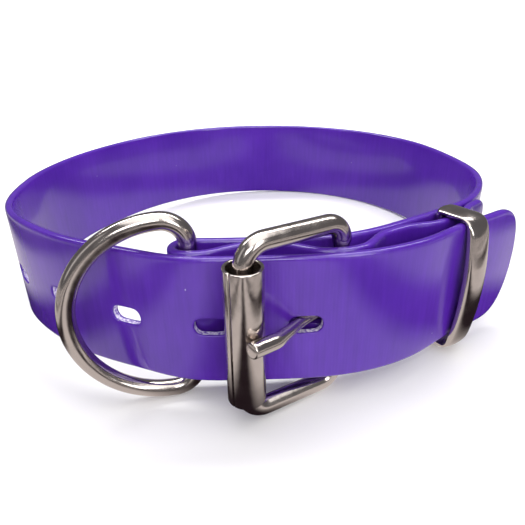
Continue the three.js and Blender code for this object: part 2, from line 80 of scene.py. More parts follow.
# How the billet comes down to the loop behind the ring's bar: share of EASE_LENGTH, share of its height
EASE_LENGTH = 92 * MM
EASE = ((0.18, 0.66), (0.36, 0.4), (0.56, 0.19), (0.78, 0.05), (1, 0))

# How the tail stands off the loop beyond the keeper: share of TAIL_LENGTH, share of TAIL_HEIGHT
TAIL_LENGTH = 44 * MM
TAIL_HEIGHT = 17.8 * MM
TAIL = ((1, 1), (0.7, 0.92), (0.38, 0.71))

# How the turn-back comes down to the loop behind the keeper: share of TURN_BACK_END, share of its height
TURN_BACK_END = 22 * MM
TURN_BACK_FALL = ((0.36, 0.5), (0.49, 0.08), (0.58, 0), (1, 0))

# Places of the bars along the front, to the right of the ring's bar, which is this far left of the middle
RING_BAR_TURN = 11.6 / 360
ROLLER_STATION = 14.1 * MM
TONGUE_HOLE_STATION = 29.6 * MM
HEEL_BAR_STATION = 38.8 * MM
KEEPER_STATION = 77.5 * MM

# How far the turn-back runs level to each side of a bar, as a share of the bar's size along the strap
RING_LEVEL = 0.15
HEEL_LEVEL = 0.25
KEEPER_LEVEL = 0.6

# Where the last rivet sits, as a share of TURN_BACK_END
RIVET_KEEPER_SHARE = 0.71

# Room between the layers and round the bars
LAYER_GAP = 0.3 * MM
BAR_CLEARANCE = 0.25 * MM
BILLET_SLACK = 0.9 * MM
BILLET_SLACK_AT_KEEPER = 2.3 * MM

# The slot in the turn-back for the tongue
SLOT_WIDTH = 7.2 * MM
SLOT_TOWARDS_ROLLER = 13 * MM
SLOT_BEHIND_BAR = 4.6 * MM

# Small features of the strap
TURN_BACK_CORNER = 6 * MM
HOLE_EDGE_RADIUS = 0.25 * MM
TIP_SIDE_HANDLE = 0.4
TIP_APEX_HANDLE = 0.65

# Small features of the metal
RING_SEAM = 0.2 * MM
RING_END_ROUND = 0.3 * MM
FRAME_NECK = 1.6 * MM
ROLLER_SEAM = 0.5 * MM
ROLLER_SEAM_TURN = 200
ROLLER_EDGE_ROUND = 0.3 * MM
TONGUE_EYE_HEIGHT = 5.2 * MM
TONGUE_EYE_ROUND = 0.3 * MM
TONGUE_TIP_ROUND = 0.45 * MM
KEEPER_END_CLEARANCE = 1.7 * MM
KEEPER_INNER_CORNER = 1.2 * MM
KEEPER_BACK_CORNER = KEEPER_INNER_CORNER * 0.3
KEEPER_OUTER_CORNER = 6.5 * MM
KEEPER_INSIDE_POWER = 0.3
RIVET_SHANK = 3.6 * MM
RIVET_HEAD_HEIGHT = 1.1 * MM
RIVET_DOME_TURN = 1.4
RIVET_HEAD_BASE = 0.97

# Where the tongue lies on the roller: its elbow and its tip, in degrees round the roller from the strap
TONGUE_ELBOW_TURN = 22
TONGUE_TIP_TURN = 80

# The tongue's wire thickens to its tip: places from the elbow, and shares of the shank's or the tip's radius
TONGUE_SWELL = (-9 * MM, -6 * MM, -0.6 * MM, 0.8 * MM)
TONGUE_SHANK_SWELL = 1.1
TONGUE_ELBOW_SWELL = 0.93

# The flat strap's grid: rows as shares of the half width, and steps between columns
STRAP_ROWS = (-1, -0.89, -0.7, -0.5, -0.29, -0.145, 0, 0.145, 0.29, 0.5, 0.7, 0.89, 1)
WINDOW_ROWS = 0.29
WINDOW_COLUMNS = 8
WINDOW_INSET = 0.1 * MM
HOLE_MARGIN = 2.3 * MM
CUT_MARGIN = 0.9 * MM
END_BLOCK = 20 * MM
WIDE_STEP = 2.6 * MM
NARROW_STEP = 1.7 * MM
FOLD_STEP = 0.8 * MM

# Fineness of the strap's lines and of the metal's curves
LOOP_POINTS = 7201
LAYER_POINTS = 4001
FOLD_STEPS = 24
HEADING_STEP = 0.05 * MM
OUTLINE_POINTS = 40
SIDE_POINTS = 12
CORNER_POINTS = 16
BAR_POINTS = 6
FRAME_BAR_POINTS = 10
RING_CORNER_STEPS = 14
RING_BOW_STEPS = 84
FRAME_BEND_STEPS = 12
BAND_POINTS = 15
WIRE_SIDES = 40
BAND_SIDES = 32
TONGUE_SIDES = 28
SHANK_POINTS = 200
SHANK_STEPS = 22
TIP_POINTS = 9
ROLLER_STEPS = 72
SPIN_STEPS = 40
RIVET_DOME_POINTS = 7
MERGE_DISTANCE = 0.005 * MM
TINY = 1e-6

# The camera in the collar's own frame, its angles in degrees and its lens for a sensor 36 mm wide
CAMERA_PLACE = (2.3 * MM, -191.1 * MM, 88.7 * MM)
CAMERA_PITCH = 26.34
CAMERA_ROLL = -0.79
CAMERA_LENS = 32.867

# The round paper backdrop and the glowing card under it that paints dark and pale reflection streaks in the
# metal, in metres, and the light all round
BACKDROP_DISTANCE = 1.6
BACKDROP_SIDES = 96
BACKDROP_STEPS = 24
REFLECTION_CARD_SIZE = 0.8
REFLECTION_CARD_DEPTH = 0.5 * MM
WORLD_COLOUR = "D9D6DC"
WORLD_STRENGTH = 0.22

# The studio's softboxes: name, place, what it faces, width and height, and power in watts
MIDDLE = (0, -0.02, 0.03)
SOFTBOXES = (
    ("overhead_box", (0.12, -0.22, 0.95), MIDDLE, (1.0, 1.3), 8.0),
    ("left_box", (-0.85, -0.45, 0.5), MIDDLE, (0.3, 0.8), 0.5),
    ("right_box", (0.6, -0.85, 0.45), MIDDLE, (0.3, 0.6), 3.0),
    ("front_box", (0.0, -1.0, 0.6), MIDDLE, (0.5, 0.25), 3.0),
    ("backdrop_box", (0, 0.6, 1.3), (0, 1.7, 0.1), (2.6, 0.6), 60),
)


class Opening(typing.NamedTuple):
    """An oblong cut in the flat strap, and whether its rim shows the cut webbing."""

    distance: float
    height: float
    half_length: float
    half_width: float
    punched: bool = False

    @property
    def reach(self):
        """Half the length of the window of faces that it is cut in."""
        return self.half_length + (HOLE_MARGIN if self.punched else CUT_MARGIN)


def rivet_stations(metal):
    """Where the rivets sit along the front: the middle one where the turn-back lies on the loop."""
    after_heel = HEEL_BAR_STATION + metal.heel_bar * HEEL_LEVEL
    before_keeper = KEEPER_STATION - metal.keeper_width * KEEPER_LEVEL
    return (
        HEEL_BAR_STATION / 2,
        (after_heel + before_keeper) / 2,
        KEEPER_STATION + TURN_BACK_END * RIVET_KEEPER_SHARE,
    )


def smooth_curve(points, closed, count):
    """Dense points on a centripetal Catmull-Rom curve through the given points."""
    p = np.asarray(points, float)
    n = len(p)
    spans = n if closed else n - 1
    if closed:
        p = np.vstack([p[-1], p, p[0], p[1]])
    else:
        p = np.vstack([2 * p[0] - p[1], p, 2 * p[-1] - p[-2]])
    where = np.linspace(0, spans, count)
    i = np.minimum(where.astype(int), spans - 1)
    t = (where - i)[:, None]
    p0, p1, p2, p3 = p[i], p[i + 1], p[i + 2], p[i + 3]
    pairs = ((p0, p1), (p1, p2), (p2, p3))
    d0, d1, d2 = (np.sqrt(np.linalg.norm(b - a, axis=1))[:, None] for a, b in pairs)
    m1 = ((p1 - p0) / d0 - (p2 - p0) / (d0 + d1) + (p2 - p1) / d1) * d1
    m2 = ((p2 - p1) / d1 - (p3 - p1) / (d1 + d2) + (p3 - p2) / d2) * d1
    return p1 + m1 * t + (3 * (p2 - p1) - 2 * m1 - m2) * t**2 + (2 * (p1 - p2) + m1 + m2) * t**3


def travel_along(points):
    """Distance travelled at each of a row of points."""
    return np.concatenate([[0], np.cumsum(np.linalg.norm(np.diff(points, axis=0), axis=1))])


def spaced(points, count):
    """count + 1 points at even distances along a row of points."""
    travel = travel_along(points)
    where = np.linspace(0, travel[-1], count + 1)
    return np.column_stack([np.interp(where, travel, points[:, k]) for k in range(points.shape[1])])


class Plan:
    """The collar seen from above: the loop, the layers over it and the strap's whole middle line."""

    def __init__(self, strap, metal):
        self.strap = strap
        self.metal = metal
        self.half = strap.thickness / 2
        turns = np.arange(len(LOOP_REACH)) * 2 * math.pi / len(LOOP_REACH)
        reach = np.array(LOOP_REACH) * strap.loop_radius
        corners = np.column_stack([reach * np.sin(turns), -reach * np.cos(turns)])
        self.loop = smooth_curve(corners, True, LOOP_POINTS)
        self.loop_travel = travel_along(self.loop)
        self.loop_length = self.loop_travel[-1]

        self.ring_bar = self.half + BAR_CLEARANCE + metal.ring_wire / 2
        self.turn_back_at_ring = self.ring_bar + metal.ring_wire / 2 + BAR_CLEARANCE + self.half
        self.eye_radius = metal.heel_bar / 2 + LAYER_GAP + metal.tongue_eye_wall
        self.heel_bar = self.half + LAYER_GAP + self.eye_radius
        self.turn_back_at_heel = self.heel_bar + metal.heel_bar / 2 + BAR_CLEARANCE + self.half
        self.keeper_bar = self.half + LAYER_GAP + metal.keeper_thickness / 2
        self.turn_back_at_keeper = self.keeper_bar + metal.keeper_thickness / 2 + LAYER_GAP + self.half
        self.layer = strap.thickness + LAYER_GAP
        self.billet_at_ring = self.turn_back_at_ring + self.layer
        self.billet_at_heel = self.turn_back_at_heel + self.layer
        self.billet_at_keeper = self.turn_back_at_keeper + self.layer + BILLET_SLACK_AT_KEEPER
        self.roller = self.billet_at_heel + self.half + LAYER_GAP + metal.roller_diameter / 2
        self.draw_strap()

    def travel_to(self, station):
        """Distance round the loop to a station to the right of the ring's bar."""
        return (self.loop_length * (1 - RING_BAR_TURN) + np.asarray(station, float)) % self.loop_length

    def heading(self, station):
        """The strap's direction to the right at a station, as an angle from +X."""
        where = self.travel_to(station)
        before, after = (
            [np.interp((where + step) % self.loop_length, self.loop_travel, self.loop[:, k]) for k in (0, 1)]
            for step in (-HEADING_STEP, HEADING_STEP)
        )
        return np.arctan2(after[1] - before[1], after[0] - before[0])

    def place(self, station, height):
        """Places in plan at a station, or a row of them, and a height outwards from the loop."""
        where = self.travel_to(station)
        along = self.heading(station)
        x = np.interp(where, self.loop_travel, self.loop[:, 0]) + np.sin(along) * height
        y = np.interp(where, self.loop_travel, self.loop[:, 1]) - np.cos(along) * height
        return np.column_stack([np.atleast_1d(x), np.atleast_1d(y)])

    def upright(self, point, angle):
        """The matrix of a fitting that stands at a place in plan, halfway up the strap, turned about Z."""
        return Matrix.Translation((*point, self.strap.width / 2)) @ Matrix.Rotation(angle, 4, "Z")

    def sink(self, start, end):
        """The turn-back between two bars, each given as station, height and level stretch."""
        a = start[0] + start[2]
        b = end[0] - end[2]
        low = self.layer
        return [
            (a + along * (b - a), low + rise * ((start[1] if along < 0.5 else end[1]) - low))
            for along, rise in SINK
        ]

    def draw_strap(self):
        """Lays the strap's middle line in plan, from its tip round the neck to the turn-back's end."""
        metal = self.metal
        ring = (0, self.turn_back_at_ring, metal.ring_wire * RING_LEVEL)
        heel = (HEEL_BAR_STATION, self.turn_back_at_heel, metal.heel_bar * HEEL_LEVEL)
        keeper = (KEEPER_STATION, self.turn_back_at_keeper, metal.keeper_width * KEEPER_LEVEL)
        rise = self.turn_back_at_keeper - self.layer
        turn_back_rows = [
            (0, self.turn_back_at_ring),
            *self.sink(ring, heel),
            *self.sink(heel, keeper),
            (KEEPER_STATION + keeper[2], self.turn_back_at_keeper),
            *((KEEPER_STATION + TURN_BACK_END * a, self.layer + rise * h) for a, h in TURN_BACK_FALL),
        ]
        billet_rows = [
            *((KEEPER_STATION + a * TAIL_LENGTH, h * TAIL_HEIGHT) for a, h in TAIL),
            (KEEPER_STATION, self.billet_at_keeper),
            ((HEEL_BAR_STATION + KEEPER_STATION) / 2, self.billet_at_heel + BILLET_SLACK),
            (HEEL_BAR_STATION, self.billet_at_heel),
            (ROLLER_STATION, self.billet_at_heel),
            (0, self.billet_at_ring),
            *((-a * EASE_LENGTH, h * self.billet_at_ring) for a, h in EASE),
        ]
        dense = smooth_curve(billet_rows, False, LAYER_POINTS)
        billet = spaced(dense, math.ceil(travel_along(dense)[-1] / MM))
        xy = self.place(billet[:, 0], billet[:, 1])
        travel = travel_along(xy)
        first = int(np.argmax(billet[:, 0] <= TONGUE_HOLE_STATION))
        tip = travel[first] - self.strap.tip_to_first_hole
        keep = travel > tip
        start = np.column_stack([np.interp(tip, travel, xy[:, k]) for k in (0, 1)])

        loop_stations = -EASE_LENGTH - np.arange(MM, self.loop_length - EASE_LENGTH, MM)
        loop = self.place(loop_stations, 0)
        turns = np.linspace(0, math.pi, FOLD_STEPS + 1)[:-1]
        fold = np.vstack([
            self.place(-self.ring_bar * math.sin(turn), self.turn_back_at_ring / 2 * (1 - math.cos(turn)))
            for turn in turns
        ])
        dense = smooth_curve(turn_back_rows, False, LAYER_POINTS)
        rows = spaced(dense, math.ceil(travel_along(dense)[-1] / FOLD_STEP))
        self.loop_start = len(np.flatnonzero(keep)) + 1
        self.fold_start = self.loop_start + len(loop)
        self.turn_back_start = self.fold_start + len(fold)
        line = np.vstack([start, xy[keep], loop, fold, self.place(rows[:, 0], rows[:, 1])])
        self.line = line
        self.line_travel = travel_along(line)
        self.length = self.line_travel[-1]
        along = np.gradient(line, self.line_travel, axis=0)

        # Its direction is smoothed twice, so that the faces across it fan evenly where it bends
        for _ in range(2):
            along[1:-1] = (along[:-2] + 2 * along[1:-1] + along[2:]) / 4
        along /= np.linalg.norm(along, axis=1)[:, None]
        self.outwards = np.column_stack([-along[:, 1], along[:, 0]])

    def at(self, distance, height=0):
        """Plan points at distances from the tip, height outwards from the strap's middle line."""
        point = np.column_stack([np.interp(distance, self.line_travel, self.line[:, k]) for k in (0, 1)])
        out = np.column_stack([np.interp(distance, self.line_travel, self.outwards[:, k]) for k in (0, 1)])
        out /= np.linalg.norm(out, axis=1)[:, None]
        return point + out * np.reshape(height, (-1, 1))

    def distance_at(self, station, height, start, end=None):
        """Distance from the tip to the line's point nearest to a place, among the points of a stretch."""
        stretch = slice(start, end)
        gaps = np.linalg.norm(self.line[stretch] - self.place(station, height), axis=1)
        return self.line_travel[stretch][int(np.argmin(gaps))]


def current_plan(context):
    """The plan for the sizes as they are now."""
    return Plan(context.scene.collar_strap, context.scene.collar_metal)


def collar_matrix(plan):
    """How the collar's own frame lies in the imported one: leaned, and moved so that the rollers agree."""
    spin = joints["roller_spin"]
    lean = UP.rotation_difference(Vector(spin["axis"])).to_matrix().to_4x4()
    x, y = plan.place(ROLLER_STATION, plan.roller)[0]
    middle = lean @ Vector((x, y, plan.strap.width / 2))
    return Matrix.Translation(Vector(spin["pos_m"]) - middle) @ lean


def sweep(bm, section, places, closed):
    """Extrudes a closed loop of section edges through a row of matrices, and joins its ends if closed."""
    loop = section
    verts = list({vert for edge in loop for vert in edge.verts})
    bmesh.ops.transform(bm, matrix=places[0], verts=verts)
    before = places[0]
    for place in places[1:]:
        made = bmesh.ops.extrude_edge_only(bm, edges=loop)["geom"]
        verts = [item for item in made if isinstance(item, bmesh.types.BMVert)]
        loop = [item for item in made if isinstance(item, bmesh.types.BMEdge)]
        loop = [edge for edge in loop if all(vert in verts for vert in edge.verts)]
        bmesh.ops.transform(bm, matrix=place @ before.inverted(), verts=verts)
        before = place
    if closed:
        bmesh.ops.bridge_loops(bm, edges=section + loop)


def ring_section(bm, sides):
    """The edges of a circle of radius one in the XY plane, to be swept."""
    circle = set(bmesh.ops.create_circle(bm, segments=sides, radius=1)["verts"])
    return [edge for edge in bm.edges if circle.issuperset(edge.verts)]


def wire_places(points, radii, across):
    """Matrices for a round wire along points: across is the direction square to the wire's plane."""
    points = np.asarray(points, float)
    along = np.gradient(points, travel_along(points), axis=0)
    places = []
    for point, direction, radius in zip(points, along, radii):
        z = Vector(direction).normalized()
        x = (Vector(across) - z * z.dot(Vector(across))).normalized()
        turn = Matrix((x, z.cross(x), z)).transposed().to_4x4()
        places.append(Matrix.Translation(point) @ turn @ Matrix.Scale(radius, 4))
    return places


def cap_ends(bm, radius):
    """Closes the open ends of a swept wire and rounds their rims."""
    rims = [edge for edge in bm.edges if edge.is_boundary]
    bmesh.ops.edgeloop_fill(bm, edges=rims)
    bmesh.ops.bevel(
        bm, geom=rims, offset=radius, segments=2, profile=0.5, affect="EDGES", material=-1,
        clamp_overlap=True,
    )


def spin_round(bm, geom):
    """Spins a section all the way round Z."""
    bmesh.ops.spin(
        bm, geom=geom, cent=(0, 0, 0), axis=(0, 0, 1), angle=2 * math.pi, steps=SPIN_STEPS,
        use_merge=True,
    )


def bar(x, start, end, count):
    """Points in the XZ plane along a straight bar."""
    z = np.linspace(start, end, count)
    return np.column_stack([np.full_like(z, x), np.zeros_like(z), z])


def arc(centre_x, centre_z, radius_x, radius_z, start, end, count):
    """Points in the XZ plane on an arc, angles in degrees."""
    turns = np.radians(np.linspace(start, end, count + 1))
    x = centre_x + radius_x * np.cos(turns)
    return np.column_stack([x, np.zeros_like(x), centre_z + radius_z * np.sin(turns)])


def finish_piece(bm, name, matrix, materials, body, node):
    """Puts a finished bmesh into the scene, smooth-shaded, at its place, on its body and for its CAD node."""
    bmesh.ops.remove_doubles(bm, verts=bm.verts, dist=MERGE_DISTANCE)
    bmesh.ops.recalc_face_normals(bm, faces=bm.faces)
    bmesh.ops.transform(bm, matrix=matrix, verts=bm.verts)
    for face in bm.faces:
        face.smooth = True
    mesh = bpy.data.meshes.new(name)
    bm.to_mesh(mesh)
    bm.free()
    piece = bpy.data.objects.new(name, mesh)
    bpy.context.scene.collection.objects.link(piece)
    for material in materials:
        mesh.materials.append(material)
    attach(piece, body)
    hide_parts(node)
    return piece


def finish_metal(bm, name, plan, place, body, node):
    """Finishes a nickel fitting at a place in the collar's own frame."""
    nickel = material_for("nickel_plate", nickel_plate, bpy.context.scene.collar_finish)
    finish_piece(bm, name, collar_matrix(plan) @ place, [nickel], body, node)


def linear(colour):
    """sRGB hex such as 5B33A6 to linear RGBA."""
    values = [int(colour[i:i + 2], 16) / 255 for i in (0, 2, 4)]
    return (*((v / 12.92 if v <= 0.04045 else ((v + 0.055) / 1.055) ** 2.4) for v in values), 1)


def add_node(material, kind, links=None, **settings):
    """Adds a node, sets its properties and input sockets by name, and links sockets to its inputs."""
    node = material.node_tree.nodes.new(kind)
    for key, value in settings.items():
        name = key.replace("_", " ")
        socket = next((item for item in node.inputs if item.name.lower() == name), None)
        if socket is not None and not hasattr(node, key):
            socket.default_value = value
        else:
            setattr(node, key, value)
    for key, source in (links or {}).items():
        sockets = [item for item in node.inputs if item.enabled and item.name == key]
        material.node_tree.links.new(source, sockets[0] if sockets else node.inputs[key])
    return node


def new_material(name):
    """An empty node material and its shader, with the shader on the output."""
    material = bpy.data.materials.new(name)
    material.use_nodes = True
    material.node_tree.nodes.clear()
    shader = add_node(material, "ShaderNodeBsdfPrincipled")
    add_node(material, "ShaderNodeOutputMaterial", {"Surface": shader.outputs["BSDF"]})
    return material, shader


def noise(material, vector, scale, detail):
    """The factor of a noise texture."""
    node = add_node(material, "ShaderNodeTexNoise", {"Vector": vector}, scale=scale, detail=detail)
    return node.outputs["Fac"]


def wave_scale(pitch):
    """The scale at which a wave texture's bands lie a pitch apart."""
    return 2 * math.pi / 20 / pitch


def coated_webbing(finish):
    """Woven polyester in a smooth extruded coat of soft PVC: a glossy violet skin over faint weft ribs."""
    material, shader = new_material("coated_webbing")
    shader.inputs["IOR"].default_value = 1.5
    shader.inputs["Coat Weight"].default_value = 0.4
    shader.inputs["Coat Roughness"].default_value = 0.07
    across = add_node(material, "ShaderNodeUVMap", uv_map="strap")
    where = add_node(material, "ShaderNodeTexCoord")

    # Slight unevenness of the dye, in patches of about 25 mm
    patches = noise(material, where.outputs["Object"], 40, 3)
    tint = add_node(material, "ShaderNodeValToRGB", {"Fac": patches})
    tint.color_ramp.interpolation = "EASE"
    tint.color_ramp.elements[0].position = 0.15
    tint.color_ramp.elements[0].color = finish.strap_dark
    tint.color_ramp.elements[1].position = 0.85
    tint.color_ramp.elements[1].color = finish.strap_light

    # Weft threads seen through the coat: streaks about 1.5 mm wide and 15 mm long, across the strap
    thread = add_node(material, "ShaderNodeMapping", {"Vector": across.outputs["UV"]})
    thread.inputs["Scale"].default_value = (650, 65, 1)
    streaks = noise(material, thread.outputs["Vector"], 1, 2)
    shade = add_node(
        material, "ShaderNodeMapRange", {"Value": streaks},
        from_min=0.3, from_max=0.7, to_min=0.9, to_max=1.06,
    )
    woven = add_node(material, "ShaderNodeVectorMath", {0: tint.outputs["Color"]}, operation="SCALE")
    material.node_tree.links.new(shade.outputs["Result"], woven.inputs["Scale"])

    # Scuffs from use: pale marks about 1 mm long, few and far between
    marks = add_node(material, "ShaderNodeMapping", {"Vector": across.outputs["UV"]})
    marks.inputs["Scale"].default_value = (420, 300, 1)
    marks.inputs["Rotation"].default_value = (0, 0, 0.6)
    flecks = noise(material, marks.outputs["Vector"], 1, 4)
    worn = add_node(
        material, "ShaderNodeMapRange", {"Value": flecks},
        from_min=0.75, from_max=0.79, to_min=0, to_max=0.6,
    )
    scuffed = add_node(
        material, "ShaderNodeMix", {"Factor": worn.outputs["Result"], "A": woven.outputs["Vector"]},
        data_type="RGBA",
    )
    scuffed.inputs[MIX_COLOUR_B].default_value = linear("CFC3E6")
    material.node_tree.links.new(scuffed.outputs[MIX_COLOUR_RESULT], shader.inputs["Base Color"])

    # The gloss varies a little with the patches
    gloss = add_node(
        material, "ShaderNodeMapRange", {"Value": patches},
        from_min=0.1, from_max=0.9, to_min=0.18, to_max=0.265,
    )
    material.node_tree.links.new(gloss.outputs["Result"], shader.inputs["Roughness"])

    # Weft ribs 0.9 mm apart, faint under the coat, and the coat's own slow waves of about 20 mm
    ribs = add_node(
        material, "ShaderNodeTexWave", {"Vector": across.outputs["UV"]},
        bands_direction="X", scale=wave_scale(0.9 * MM), distortion=0.4, detail=2,
    )
    ribbing = add_node(
        material, "ShaderNodeBump", {"Height": ribs.outputs["Fac"]}, strength=0.08, distance=0.1 * MM
    )
    waves = noise(material, where.outputs["Object"], 55, 2)
    swell = add_node(
        material, "ShaderNodeBump", {"Height": waves, "Normal": ribbing.outputs["Normal"]},
        strength=0.1, distance=1.2 * MM,
    )
    material.node_tree.links.new(swell.outputs["Normal"], shader.inputs["Normal"])
    return material


def webbing_core(finish):
    """The cut webbing inside a punched hole: pale matt fibres between the two skins of the coat."""
    material, shader = new_material("webbing_core")
    shader.inputs["Roughness"].default_value = 0.6
    where = add_node(material, "ShaderNodeTexCoord")
    fibres = noise(material, where.outputs["Object"], 1400, 3)
    tint = add_node(material, "ShaderNodeValToRGB", {"Fac": fibres})
    tint.color_ramp.elements[0].position = 0.35
    tint.color_ramp.elements[0].color = linear("6B4BB0")
    tint.color_ramp.elements[1].position = 0.6
    tint.color_ramp.elements[1].color = finish.core
    material.node_tree.links.new(tint.outputs["Color"], shader.inputs["Base Color"])
    return material


def nickel_plate(finish):
    """Bright nickel over steel, barrel-plated: a warm grey mirror, a little wavy and hazed by rubbing."""
    material, shader = new_material("nickel_plate")
    shader.inputs["Base Color"].default_value = finish.nickel
    shader.inputs["Metallic"].default_value = 1
    where = add_node(material, "ShaderNodeTexCoord")
    haze = noise(material, where.outputs["Object"], 260, 5)
    gloss = add_node(
        material, "ShaderNodeMapRange", {"Value": haze},
        from_min=0.35, from_max=0.75, to_min=0.14, to_max=0.26,
    )
    material.node_tree.links.new(gloss.outputs["Result"], shader.inputs["Roughness"])
    dents = noise(material, where.outputs["Object"], 170, 2)
    wavy = add_node(material, "ShaderNodeBump", {"Height": dents}, strength=0.25, distance=0.35 * MM)
    material.node_tree.links.new(wavy.outputs["Normal"], shader.inputs["Normal"])
    return material


def studio_paper():
    """Seamless white paper, matt."""
    material, shader = new_material("studio_paper")
    shader.inputs["Base Color"].default_value = linear("F4F3F3")
    shader.inputs["Roughness"].default_value = 0.9
    shader.inputs["Specular IOR Level"].default_value = 0.1
    return material


def painted_reflection_card():
    """A card that glows in wavy bands of dim taupe and pale grey, seen only as painted reflection streaks in
    the metal.
    """
    material, shader = new_material("painted_reflection_card")
    shader.inputs["Base Color"].default_value = (0, 0, 0, 1)
    shader.inputs["Roughness"].default_value = 1
    where = add_node(material, "ShaderNodeTexCoord")
    # Wavy bands of painted reflection: dark and pale streaks for the metal to mirror
    reflection_streaks = add_node(
        material, "ShaderNodeTexWave", {"Vector": where.outputs["Object"]},
        bands_direction="X", scale=wave_scale(92 * MM), distortion=1.6, detail=2, detail_scale=0.6,
    )
    tone = add_node(material, "ShaderNodeValToRGB", {"Fac": reflection_streaks.outputs["Fac"]})
    tone.color_ramp.elements[0].position = 0.12
    tone.color_ramp.elements[0].color = linear("2A1E24")
    tone.color_ramp.elements[1].position = 0.62
    tone.color_ramp.elements[1].color = linear("EFE8E6")
    # The bands glow on their own: painted reflection, lit by no lamp
    material.node_tree.links.new(tone.outputs["Color"], shader.inputs["Emission Color"])
    shader.inputs["Emission Strength"].default_value = 1
    return material


def material_for(name, make, finish):
    """The named material, made on first use."""
    return bpy.data.materials.get(name) or make(finish)


def length(name, description, millimetres):
    """A length property, its default in millimetres."""
    return FloatProperty(name=name, description=description, default=millimetres * MM, unit="LENGTH")


def colour(name, description, shade):
    """A colour property, its default in sRGB hex."""
    return FloatVectorProperty(
        name=name, description=description, subtype="COLOR", size=4, min=0, max=1, default=linear(shade)
    )


class CollarStrapSizes(bpy.types.PropertyGroup):
    """Sizes of the strap."""

    width: length("Width", "Strap width", 38)
    thickness: length("Thickness", "Strap thickness", 2.6)
    edge_radius: length("Edge Radius", "Rounding of its edges", 1)
    loop_radius: length("Loop Radius", "Radius of the loop", 85)
    tip_length: length("Tip", "Length of the round tip", 14)
    tip_to_first_hole: length("Tip to Hole", "Tip to the fastened hole", 82.5)
    hole_count: IntProperty(name="Holes", description="Number of holes", default=5, min=1)
    hole_spacing: length("Hole Spacing", "Between holes", 24.6)
    hole_length: length("Hole Length", "Along the strap", 9.4)
    hole_width: length("Hole Width", "Across the strap", 5.4)
    first_drop: length("First Hole Drop", "First hole below the middle", 0.8)
    last_drop: length("Last Hole Drop", "Last hole below the middle", 2)


class CollarMetalSizes(bpy.types.PropertyGroup):
    """Sizes of the metal fittings."""

    ring_wire: length("Ring Wire", "Wire of the ring", 5)
    ring_reach: length("Ring Reach", "Bar to bow", 33)
    ring_half_height: length("Ring Half Height", "Middle to side", 26.3)
    ring_corner: length("Ring Corner", "Corner radius", 7)
    ring_swing: FloatProperty(
        name="Ring Swing", description="How far it hangs out", default=math.radians(14), subtype="ANGLE"
    )
    frame_wire: length("Frame Wire", "Wire of the buckle", 5.2)
    heel_bar: length("Heel Bar", "Bar of the tongue", 4)
    frame_half_height: length("Frame Half Height", "Middle to side", 24.9)
    frame_outer_bend: length("Outer Bend", "At the roller", 6)
    frame_inner_bend: length("Inner Bend", "At the heel", 5)
    roller_diameter: length("Roller", "Diameter", 10.2)
    roller_wall: length("Roller Wall", "Sheet thickness", 0.9)
    roller_overhang: length("Roller Overhang", "Past the strap's edge", 0.6)
    tongue_wire: length("Tongue Wire", "Its shank", 3)
    tongue_tip: length("Tongue Tip", "Its thick end", 4.2)
    tongue_eye_wall: length("Tongue Eye", "Wall of its eye", 1.1)
    tongue_rise: length("Tongue Rise", "Towards its tip", 1.6)
    keeper_width: length("Keeper Width", "Along the strap", 8.4)
    keeper_thickness: length("Keeper Back", "Its inner bar", 2.8)
    keeper_front: length("Keeper Front", "Its outer bar", 3.4)
    keeper_end: length("Keeper Ends", "At the edges", 1.8)
    keeper_bow: length("Keeper Bow", "Bow of its front", 1.6)
    rivet_head: length("Rivet Head", "Diameter", 7.2)


class CollarFinish(bpy.types.PropertyGroup):
    """Colours of the collar."""

    strap_light: colour("Strap", "Coat colour", "5626A6")
    strap_dark: colour("Strap Shade", "Darker patches", "481D94")
    core: colour("Core", "Cut webbing", "E9E2F2")
    nickel: colour("Nickel", "Plated metal", "C2B9B3")


def strap_openings(plan):
    """What is cut in the flat strap: oblongs as distance, height, half length and half width."""
    strap, metal = plan.strap, plan.metal
    openings = []
    for i in range(strap.hole_count):
        share = (i / max(strap.hole_count - 1, 1)) ** 2
        drop = strap.first_drop + (strap.last_drop - strap.first_drop) * share
        distance = strap.tip_to_first_hole + i * strap.hole_spacing
        openings.append(Opening(distance, -drop, strap.hole_length / 2, strap.hole_width / 2, True))
    bore = RIVET_SHANK / 2 + LAYER_GAP
    for station in rivet_stations(metal):
        inner = plan.distance_at(station, 0, plan.loop_start, plan.fold_start)
        outer = plan.distance_at(station, plan.layer, plan.turn_back_start)
        openings += [Opening(inner, 0, bore, bore), Opening(outer, 0, bore, bore)]
    ends = [
        plan.distance_at(HEEL_BAR_STATION - SLOT_TOWARDS_ROLLER, plan.layer, plan.turn_back_start),
        plan.distance_at(HEEL_BAR_STATION + SLOT_BEHIND_BAR, plan.turn_back_at_heel, plan.turn_back_start),
    ]
    openings.append(Opening(sum(ends) / 2, 0, (ends[1] - ends[0]) / 2, SLOT_WIDTH / 2))
    return sorted(openings, key=lambda opening: opening.distance)


def strap_columns(plan, openings):
    """Distances of the flat strap's columns: close where it bends, and fitted round its openings."""
    fold = plan.line_travel[plan.fold_start]
    after = plan.line_travel[plan.turn_back_start]
    stops = {0, END_BLOCK, fold, after, plan.length - END_BLOCK, plan.length}
    for opening in openings:
        stops |= {opening.distance - opening.reach, opening.distance + opening.reach}
    stops = sorted(stops)
    columns = [0]
    for a, b in zip(stops, stops[1:]):
        step = WIDE_STEP
        if (a + b) / 2 > after:
            step = NARROW_STEP
        if fold <= (a + b) / 2 <= after:
            step = FOLD_STEP
        if any(abs(a - opening.distance + opening.reach) < TINY for opening in openings):
            step = (b - a) / WINDOW_COLUMNS
        count = max(1, math.ceil((b - a) / step - TINY))
        columns += [a + (b - a) * (i + 1) / count for i in range(count)]
    return columns


